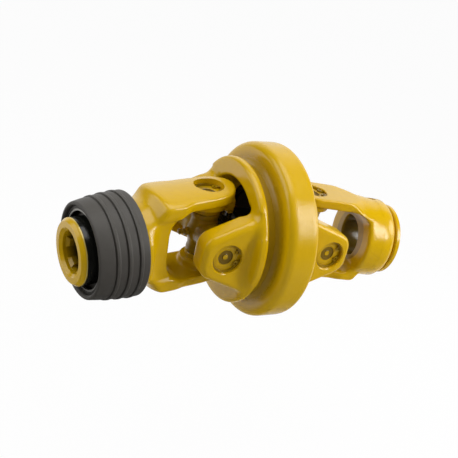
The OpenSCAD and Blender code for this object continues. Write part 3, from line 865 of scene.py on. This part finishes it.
# Housing: flange yoke and drum, with flat-tipped ears that are bevelled all round
flangeYoke = {
    "name": "flangeYokeCasting",
    "material": "flangePaint",
    "voxel": 0.9,
    "rounds": 9,
    "softRounds": 70,
    "sharpAngle": 32,
    "side": -1,
    "tip": 23,
    "corner": 15,
    "cornerHalf": 6,
    "rootHalf": 36,
    "root": 23.3,
    "bevel": 3.8,
    "filletAt": -29.5,
    "filletReach": 9,
}
drumHousing = {
    "name": "drumHousingCasting",
    "material": "turnedPaint",
    "voxel": 0.95,
    "rounds": 9,
    "softRounds": 50,
    "sharpAngle": 32,
    "side": 1,
    "tip": 20.5,
    "corner": 14,
    "cornerHalf": 6,
    "rootHalf": 38,
    "root": 34,
    "bevel": 2.8,
    "filletAt": 19.5,
    "filletReach": 8,
    "frontRim": 6.5,
    "front": -9.5,
    "radius": 80,
    "bead": [(-13.4, 59), (-13.4, 60.4), (-12, 60.8), (-10.8, 61.7), (-9.7, 63.4), (-8, 64.5), (-8, 59)],
    "chambers": [(-5.8, 5.8, 74), (-15, -5.7, 60.02)],
}
housingEars = {"inner": 35, "outer": 54.3, "filletInner": 30, "filletOuter": 62, "filletHalf": 42}


# An ear's outline in X and Z, with its tip towards -X, grown by a distance and drawn on past its root
def earOutline(s, grow=0, rootExtra=3):
    corner, half = s["corner"] + grow, s["cornerHalf"]
    centre = s["corner"] - s["tip"]
    alongRun, acrossRun = s["root"] - centre, s["rootHalf"] + grow - half
    a = math.degrees(math.atan(acrossRun / alongRun) + math.acos(corner / math.hypot(alongRun, acrossRun)))
    slope = acrossRun - corner * math.sin(math.radians(a))
    slope /= alongRun - corner * math.cos(math.radians(a))
    top = arcPoints(centre, half, corner, 180, a)
    top.append((s["root"] + rootExtra, s["rootHalf"] + grow + slope * rootExtra))
    return top


def earMesh(s, start, end):
    outline = [(x * -s["side"], z) for x, z in mirrored(earOutline(s))]
    return pulledAside("ear", outline, start, end)


# What a bevel takes off the outside edges of one ear
def bevelCutter(s, outward):
    outer, deep = housingEars["outer"], s["bevel"]
    low, high = (mirrored(earOutline(s, grow, 30)) for grow in (0, -2 * deep))
    corners = [(x, outer - deep, z) for x, z in low] + [(x, outer + deep, z) for x, z in high]
    count = len(low)
    faces = [tuple(range(count)), tuple(range(count, 2 * count))]
    faces += [(i, (i + 1) % count, (i + 1) % count + count, i + count) for i in range(count)]
    kept = newMesh("bevelKept", corners, faces)
    reach = s["root"] - 0.6
    block = pulledAside("bevelBlock", mirrored([(-60, 60), (reach, 60)]), outer - deep, outer + deep)
    flip = Matrix.Diagonal((-s["side"], outward, 1, 1))
    mesh = moved(combined("DIFFERENCE", block, kept), flip)
    if flip.determinant() < 0:
        mesh.flip_normals()
    return mesh


def buildHousingHalf(node, s):
    ears = housingEars
    middle = (s["side"] * crossReach / mm, 0, 0)
    shift = Matrix.Translation(Vector(middle) * mm)
    plugs = bearingPlugs(ears["inner"] + 0.1, ears["outer"] - 0.05, bearing["plugRadius"], turnToY, middle)
    blank = moved(solidOf(node), housingPlace.inverted())
    for outward in (-1, 1):
        span = sorted((outward * ears["inner"], outward * ears["outer"]))
        blank = combined("UNION", blank, moved(earMesh(s, *span), shift))
    blank = combined("UNION", blank, *plugs)
    blank = combined("DIFFERENCE", blank, *(moved(bevelCutter(s, outward), shift) for outward in (-1, 1)))
    if "frontRim" in s:
        rim, radius, front = s["frontRim"], s["radius"], s["front"]
        outline = arcPoints(front + rim, radius - rim, rim, 180, 90)
        outline += [(front + rim, radius + 2), (front - 2, radius + 2), (front - 2, radius - rim)]
        blank = combined("DIFFERENCE", blank, turnedMesh("rimCut", outline + outline[:1]))
        blank = combined("UNION", blank, turnedMesh("bead", s["bead"] + s["bead"][:1]))
    cutters = bearingCutters(bearing["housingSpan"], ears["outer"], turnToY, middle)
    cutters += [rodMesh("chamber", *chamber, 192) for chamber in s.get("chambers", [])]

    # softest in the fillets where the ears stand on the plate or on the drum
    def softer(x, y, z):
        near = s["filletReach"] - numpy.abs(x - s["filletAt"])
        ear = (numpy.abs(y) > ears["filletInner"]) & (numpy.abs(y) < ears["filletOuter"])
        ear = ear & (numpy.abs(z) < ears["filletHalf"])
        return ear * ramp(near, 0, 5) * 0.9

    forge(node, housingPlace, blank, [], cutters, s, softer)


# Tube yoke: the upper arm falls off early, and the lower one just before the pin hole
tubeYoke = {
    "name": "tubeYokeForging",
    "material": "tubePaint",
    "voxel": 0.85,
    "rounds": 9,
    "softRounds": 14,
    "sharpAngle": 32,
    "top": 40,
    "inside": 31,
    "tipRadius": 22,
    "earHalf": 21.5,
    "shoulderHalf": 26.5,
    "shoulderFrom": 25,
    "fallRadius": 45.5,
    "barrelRadius": 38,
    "windowCorner": 12,
    "boreStart": 54.5,
    "barrelStart": 55,
    "end": 91.5,
    "lemonRadius": 21.8,
    "lemonOffset": 5.8,
    "lemonTip": 20.4,
    "lemonTurn": 48,
    "pinHole": 69.5,
    "pinHoleRadius": 5,
    "pinHoleTurn": 14,
    "falls": (
        (1, [(31, 45.5), (49.5, 39.8), (66, 38), (66, 0)]),
        (-1, [(59, 45.5), (60.5, 44), (64.4, 38), (64.4, 0)]),
    ),
    "groove": [(82.3, 36), (83.8, 34), (83.8, 30.5), (86.5, 30.5), (86.5, 33), (87.5, 34), (90.5, 34)],
}


def lemonOutline(s):
    r, d, tip = s["lemonRadius"], s["lemonOffset"], s["lemonTip"]
    tipAngle = math.asin((r ** 2 - tip ** 2 - d ** 2) / (2 * d * tip))
    start = math.degrees(math.atan2(tip * math.sin(tipAngle) + d, tip * math.cos(tipAngle)))
    tipAngle = math.degrees(tipAngle)
    side = arcPoints(0, -d, r, start, 180 - start, 20)
    cap = arcPoints(0, 0, tip, 180 - tipAngle, 180 + tipAngle, 4)[1:-1]
    outline = []
    for flip in (0, 180):
        turn = Matrix.Rotation(math.radians(flip + s["lemonTurn"]), 2)
        outline += [tuple(turn @ Vector(point)) for point in side + cap]
    return outline


def tubeBlank(s):
    back, radius, start = -s["tipRadius"] - 1, s["barrelRadius"], s["barrelStart"]
    parts = []
    for side, outline in s["falls"]:
        turnedShape = turnedMesh("tubeTurned", [(back, 0), (back, s["fallRadius"])] + outline)
        for half, bottom, top in (
            (s["earHalf"], 0, s["shoulderFrom"] + 1),
            (s["shoulderHalf"], s["shoulderFrom"], s["top"]),
        ):
            plan = arcPoints(0, 0, s["tipRadius"], 180, 90) + [
                (12, s["earHalf"]), (36, s["earHalf"]), (45, half), (70, half + 0.4)
            ]
            plan = plan + [(x, -y) for x, y in reversed(plan[1:])]
            heights = sorted((side * bottom, side * top))
            parts.append(combined("INTERSECT", turnedShape.copy(), pulledUp("plan", plan, *heights)))
    parts.append(turnedMesh("barrelFront", [
        (start, 0), (start, radius - 2), (start + 0.6, radius - 0.6), (start + 2, radius), (78, radius),
        (78, 0),
    ]))
    window = windowMesh(start, s["inside"], s["windowCorner"], 80, -1)
    return [combined("DIFFERENCE", part, window.copy()) for part in parts]


def buildTubeYoke(s):
    plugs = bearingPlugs(bridge["bossInner"] + 0.5, s["top"] - 0.05, bearing["plugRadius"], turnToZ)
    blank = joinedMesh("tubeBlankWhole", tubeBlank(s) + bridgeMeshes(s["inside"], s["top"], -1) + plugs)
    radius, end = s["barrelRadius"] + 0.03, s["end"]
    outline = [(70, 0), (70, radius), (78.8, radius)] + s["groove"] + [(end, 33), (end, 0)]
    barrel = turnedMesh("barrel", outline)
    bore = pulledMesh("lemonCut", lemonOutline(s), s["boreStart"] - 1, s["end"] + 1)
    turn = Matrix.Rotation(math.radians(-s["pinHoleTurn"]), 4, "X")
    across = turn @ Matrix.Translation((s["pinHole"] * mm, 0, 0)) @ turnToZ
    pin = moved(rodMesh("pinCut", -50, 50, s["pinHoleRadius"], 48), across)
    cutters = bearingCutters(bearing["yokeSpan"], s["top"], turnToZ) + [bore, pin, studBore(-1)]

    # softest at the shoulders
    def softer(x, y, z):
        return ramp(x, 28, 40) * (1 - ramp(x, 62, 68)) * ramp(numpy.abs(z), 20, 28)

    forge("tube_yoke", tubePlace, blank, [barrel], cutters, s, softer)


buildTractorYoke(tractorYoke)
buildHousingHalf("flange_yoke", flangeYoke)
buildHousingHalf("drum_housing", drumHousing)
buildTubeYoke(tubeYoke)


# Crosses: thick arms with a collar under each cup of a yoke, and turned trunnions
cross = {
    "material": "greaseAndShadePaint",
    "voxel": 0.7,
    "rounds": 8,
    "sharpAngle": 32,
    "hubRadius": 15,
    "armRadius": 12.3,
    "collarRadius": 13.2,
    "trunnionRadius": 8.25,
    "tipGap": 1.9,
    "neckGap": 17.2,
    "nippleHole": 3.1,
}


def buildCross(side, centre, upAxis, s):
    settings = dict(s, name=side + "CrossForging")
    place = placeAt(centre, pinAxis.cross(upAxis), pinAxis)
    arm, r = s["armRadius"], s["trunnionRadius"]
    blank, trunnions = [turnedMesh("hub", arcPoints(0, 0, s["hubRadius"], 180, 0, 24), 64)], []
    for span, rim, turn in (
        (bearing["yokeSpan"], s["collarRadius"], turnToZ),
        (bearing["housingSpan"], arm, turnToY),
    ):
        tip, neck = span / 2 - s["tipGap"], span / 2 - s["neckGap"]
        half = [(6, 13), (12, arm), (neck - 5, arm), (neck - 4.6, rim), (neck, rim), (neck, 0)]
        outline = [(-x, away) for x, away in reversed(half)] + half
        blank.append(moved(turnedMesh("arm", outline, 96), turn))
        pin = [(0, 0), (0, r), (tip - 1, r), (tip, r - 1), (tip, 0)]
        trunnions += bothWays("trunnion", pin, turn, 64)
    outward = Matrix.Rotation(math.pi if side == "left" else 0, 4, "Z")
    hole = moved(rodMesh("nippleHole", 8, 20, s["nippleHole"], 32), outward)
    forge(side + "_cross", place, joinedMesh("crossBlank", blank), trunnions, [hole], settings)


buildCross("left", leftCentre, Vector((0, 0, 1)), cross)
buildCross("right", rightCentre, tubeEarAxis, cross)

# Bearing cups with a turned recess in the closed end
cup = {
    "material": "cupPaint",
    "recessMaterial": "recessShadePaint",
    "sharpAngle": 30,
    "length": 17,
    "radius": 13.5,
    "bore": 10.85,
    "wall": 1.8,
    "recessRadius": 6.6,
    "recessDepth": 1.3,
    "middleRadius": 2.3,
    "middleDepth": 0.8,
}


def buildCup(side, end, span, place, s):
    half, r, recess, middle = span / 2, s["radius"], s["recessRadius"], s["middleRadius"]
    mouth, floor = half - s["length"], half - s["recessDepth"]
    outline = [
        (half - s["wall"], 0), (half - s["wall"], s["bore"]), (mouth, s["bore"]), (mouth, r - 0.6),
        (mouth + 0.6, r), (half - 1, r), (half - 0.3, r - 0.3), (half, r - 1), (half, recess + 1.4),
        (half - 0.4, recess + 0.6), (half - 0.5, recess + 0.2), (floor, recess - 0.3), (floor, middle + 0.6),
        (half - s["middleDepth"], middle), (half - s["middleDepth"], 0),
    ]
    name = "cup" + side.title() + end.title()
    mesh = finished(turnedMesh(name, outline, 72), s)
    mesh.materials.append(materials[s["recessMaterial"]])
    # painted shade: the floor of the recess takes the darker paint, with grease smears
    for face in mesh.polygons:
        away = math.hypot(face.center.y, face.center.z) / mm
        if face.center.x / mm > half - s["wall"] + 0.1 and middle - 0.2 < away < recess:
            face.material_index = 1
    dress(addObject(name, moved(mesh, place)), "cup_" + side + "_" + end)


for side, yokePlace, centre in (("left", tractorPlace, leftCentre), ("right", tubePlace, rightCentre)):
    pinPlace = housingPlace.copy()
    pinPlace.translation = centre
    for end, span, place in (
        ("top", bearing["yokeSpan"], yokePlace @ turnToZ),
        ("bottom", bearing["yokeSpan"], yokePlace @ turnDown),
        ("front", bearing["housingSpan"], pinPlace @ turnToFront),
        ("back", bearing["housingSpan"], pinPlace @ turnToY),
    ):
        buildCup(side, end, span, place, cup)


# Collar grip: Geometry Nodes bend a grid round the shaft, by a rule for bands, lips and grooves
collar = {
    "sizes": {
        "Start": -117,
        "Length": 41.5,
        "Inner Radius": 36.4,
        "Mouth Radius": 40,
        "Swell": 4.8,
        "Swell Power": 1.8,
        "First Band": 13.6,
        "Band Pitch": 9.5,
        "Groove Width": 1.1,
        "Groove Depth": 1.1,
        "Lip Rise": 0.6,
        "Lip Length": 2,
        "Edge Radius": 1.2,
    },
    "around": 145,
    "along": 261,
    "outsideTo": 0.8,
    "endTo": 0.84,
    "boreTo": 0.97,
    "leadLength": 0.9,
    "leadRise": 1.4,
    "material": "collarRubber",
    "sharpAngle": 40,
}


def collarRule(s):
    tree = bpy.data.node_groups.new("ribbedCollar", "GeometryNodeTree")
    graph = Graph(tree)
    tree.interface.new_socket("Geometry", in_out="OUTPUT", socket_type="NodeSocketGeometry")
    keys = {
        name: tree.interface.new_socket(name, in_out="INPUT", socket_type="NodeSocketFloat").identifier
        for name in s["sizes"]
    }
    given = graph.node("NodeGroupInput")
    start, length, inner, mouth, swell, power, first, pitch, groove, depth, rise, lip, edge = (
        given.output(name) for name in s["sizes"]
    )
    grid = graph.node(
        "GeometryNodeMeshGrid", {},
        {"Size X": 1, "Size Y": 1, "Vertices X": s["around"], "Vertices Y": s["along"]},
    )
    apart = graph.node("ShaderNodeSeparateXYZ", {}, [graph.node("GeometryNodeInputPosition")])
    turn = (apart + 0.5) * (2 * math.pi)
    way = apart.output("Y") + 0.5

    def share(low, high, top=1):
        return graph.step(way, low, high, "LINEAR", 0, top)

    # out along the outside, in over the end, back along the bore and out over the mouth
    along = share(0, s["outsideTo"], length) - share(s["endTo"], s["boreTo"], length)
    out = 1 - share(s["outsideTo"], s["endTo"]) + share(s["boreTo"], 1)
    radius = mouth + swell * (1 - (1 - along / length) ** power)
    inBands = graph.step(along, first - groove * 1.6, first - groove * 1.5)
    nearest = graph.maths("PINGPONG", along - first + groove * 0.5, pitch * 0.5)
    cut = (1 - graph.step(nearest, groove * 0.5 - 0.15, groove * 0.5 + 0.2)) * inBands
    cut = cut * (1 - graph.step(along, length - 2.2, length - 2))
    placeInBand = graph.maths("MODULO", along - first + pitch, pitch)
    lifted = (1 - graph.step(placeInBand, lip, lip + 1.2)) * inBands
    radius = radius - cut * depth + lifted * rise
    for corner in (edge - along, along - length + edge):
        rounded = graph.step(corner, 0, edge, "LINEAR")
        radius = radius - edge * (1 - (1 - rounded * rounded) ** 0.5)
    bore = inner + graph.step(along, 0, s["leadLength"], "LINEAR", s["leadRise"], 0)
    radius = bore + out * (radius - bore)
    place = graph.node("ShaderNodeCombineXYZ", {}, [
        start + along, radius * graph.maths("COSINE", turn), radius * graph.maths("SINE", turn)
    ])
    place = graph.node("ShaderNodeVectorMath", {"operation": "SCALE"}, {0: place, "Scale": mm})
    bent = graph.node("GeometryNodeSetPosition", {}, {"Geometry": grid, "Position": place})
    closed = graph.node("GeometryNodeMergeByDistance", {}, {"Geometry": bent, "Distance": 1e-5})
    whole = graph.node("GeometryNodeRealizeInstances", {}, [closed])
    painted = graph.node(
        "GeometryNodeSetMaterial", {}, {"Geometry": whole, "Material": materials[s["material"]]}
    )
    graph.node("NodeGroupOutput", {}, [painted])
    return tree, keys


def buildCollar(s):
    made = addObject("collarGripRibbed", bpy.data.meshes.new("collarStart"))
    rule = made.modifiers.new("bands", "NODES")
    rule.node_group, keys = collarRule(s)
    for name, size in s["sizes"].items():
        rule[keys[name]] = float(size)
    settle(made)
    made.data = finished(moved(cleanMesh(made.data), tractorPlace), s)
    dress(made, "collar_grip")


buildCollar(collar)


# Studio: a pale floor well below, a white backdrop behind, darkness behind the viewer, soft lamps
studio = {
    "floorHalf": 9000,
    "floorBelow": 0.16,
    "floorColour": (0.8, 0.8, 0.8, 1),
    "floorSeen": 0.96,
    "floorBrightFrom": 0.06,
    "floorBrightTo": 0.32,
    "surround": 0.3,
    "mirroredBehindViewer": 0.02,
    "backdrop": (0.61, 0.79, 0),
    "backdropFrom": 0.5,
    "backdropTo": 0.8,
    "lamps": [
        {"name": "softbox", "from": (0.511, -0.73, 0.454), "away": 0.8, "size": (0.2, 0.5), "watts": 3.3},
        {"name": "right", "from": (0.87, -0.41, 0.27), "away": 0.8, "size": (0.3, 0.3), "watts": 1.4},
        {"name": "overhead", "from": (0.1, 0, 1), "away": 1, "size": (0.8, 0.8), "watts": 5.1},
        {"name": "leftAbove", "from": (-0.8, 0.42, 0.6), "away": 1, "size": (0.8, 0.8), "watts": 3.8},
    ],
}


# Whether the camera sees a place straight, mirrored or through glass, and how bright it looks:
# white when seen straight, and by its reach towards the backdrop otherwise
def raysSeen(made, reach, dim):
    rays = made.node("ShaderNodeLightPath")
    straight, glossy, passing = (
        rays.output(key) for key in ("Is Camera Ray", "Is Glossy Ray", "Is Transmission Ray")
    )
    seen = made.maths("MAXIMUM", straight, glossy + passing)
    return seen, made.maths("MAXIMUM", straight, reach * (1 - dim) + dim)


def buildStudio(s):
    half, below = s["floorHalf"], cadBox[0][2] - s["floorBelow"]
    corners = [(-half, -half, 0), (half, -half, 0), (half, half, 0), (-half, half, 0)]
    floorMesh = moved(newMesh("floor", corners, [(0, 1, 2, 3)]), Matrix.Translation((0, 0, below)))
    floor = addObject("paleFloor", floorMesh)
    made = Finish("paleFloor")
    reach = made.step(made.dot(made.place(), s["backdrop"]), s["floorBrightFrom"], s["floorBrightTo"])
    seen, level = raysSeen(made, reach, s["mirroredBehindViewer"])
    diffuse = made.node("ShaderNodeBsdfDiffuse", {}, {"Color": s["floorColour"]})
    glow = made.node("ShaderNodeEmission", {}, {"Color": level, "Strength": 1})
    mix = made.node("ShaderNodeMixShader", {}, [seen * s["floorSeen"], diffuse, glow])
    made.node("ShaderNodeOutputMaterial", {}, [mix])
    floorMesh.materials.append(made.owner)
    made = Finish("whiteSurround", bpy.data.worlds)
    scene.world = made.owner
    direction = made.node("ShaderNodeTexCoord", output="Generated")
    reach = made.step(made.dot(direction, s["backdrop"]), s["backdropFrom"], s["backdropTo"])
    seen, level = raysSeen(made, reach, s["mirroredBehindViewer"])
    light = seen * (level - s["surround"]) + s["surround"]
    back = made.node("ShaderNodeBackground", {}, {"Color": light, "Strength": 1})
    made.node("ShaderNodeOutputWorld", {}, [back])
    target = (leftCentre + rightCentre) / 2
    for lamp in s["lamps"]:
        data = bpy.data.lights.new(lamp["name"], "AREA")
        data.shape = "RECTANGLE"
        data.size, data.size_y = lamp["size"]
        data.energy = lamp["watts"]
        light = bpy.data.objects.new(lamp["name"], data)
        light.location = target + Vector(lamp["from"]).normalized() * lamp["away"]
        light.rotation_mode = "QUATERNION"
        light.rotation_quaternion = (target - light.location).to_track_quat("-Z", "Y")
        scene.collection.objects.link(light)


buildStudio(studio)
print("studio set")
